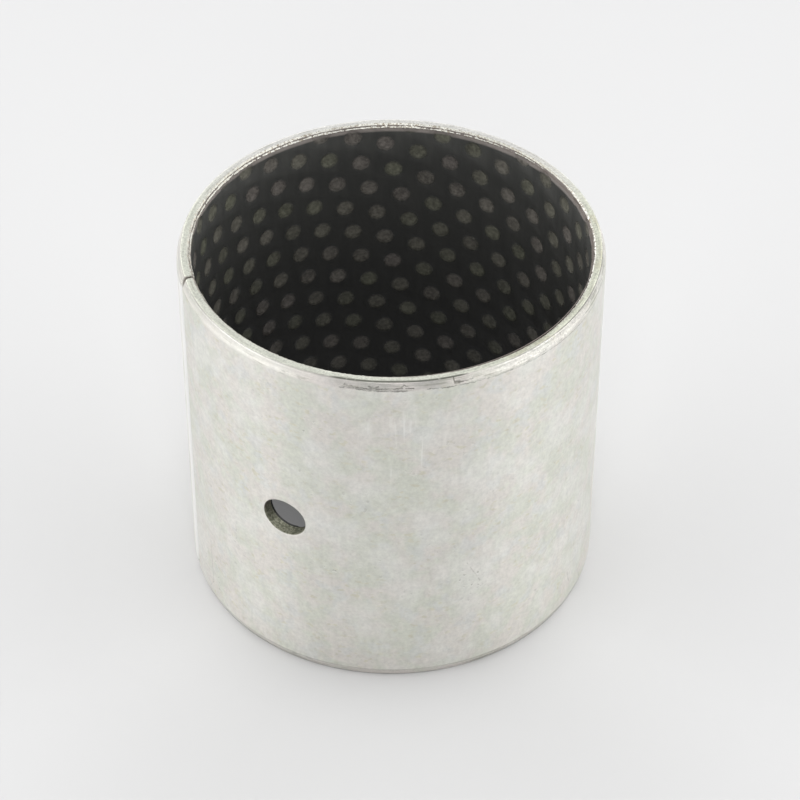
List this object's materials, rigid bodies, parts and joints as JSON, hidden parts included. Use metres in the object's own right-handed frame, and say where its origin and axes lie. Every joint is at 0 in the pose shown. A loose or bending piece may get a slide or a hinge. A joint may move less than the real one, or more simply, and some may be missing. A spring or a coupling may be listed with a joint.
{
  "type": "polymer-lined wrapped bushing",
  "caption": "Thin split steel sleeve with a black polymer lining, grease indents in its bore, a radial oil hole and outer chamfers; a plain bearing for a turning shaft.",
  "frame": {"origin": "centre of the bottom end face, on the bushing's axis", "axes": "+Z along the bore axis; -Y out through the oil hole; +X completes the right-handed frame, with the butt joint at 45 degrees from the oil hole, towards -X and -Y"},
  "size_m": [0.075, 0.075, 0.07],
  "materials": {
    "tinned_steel": "tin-flashed strip, satin, finely mottled, with faint scratches and a bright machined end face",
    "black_polymer": "black acetal-like lining, semi-matt, with a duller grey-brown film in the indents"
  },
  "bodies": {
    "root": {"steel_shell": "tinned_steel", "polymer_lining": "black_polymer"}
  },
  "joints": []
}
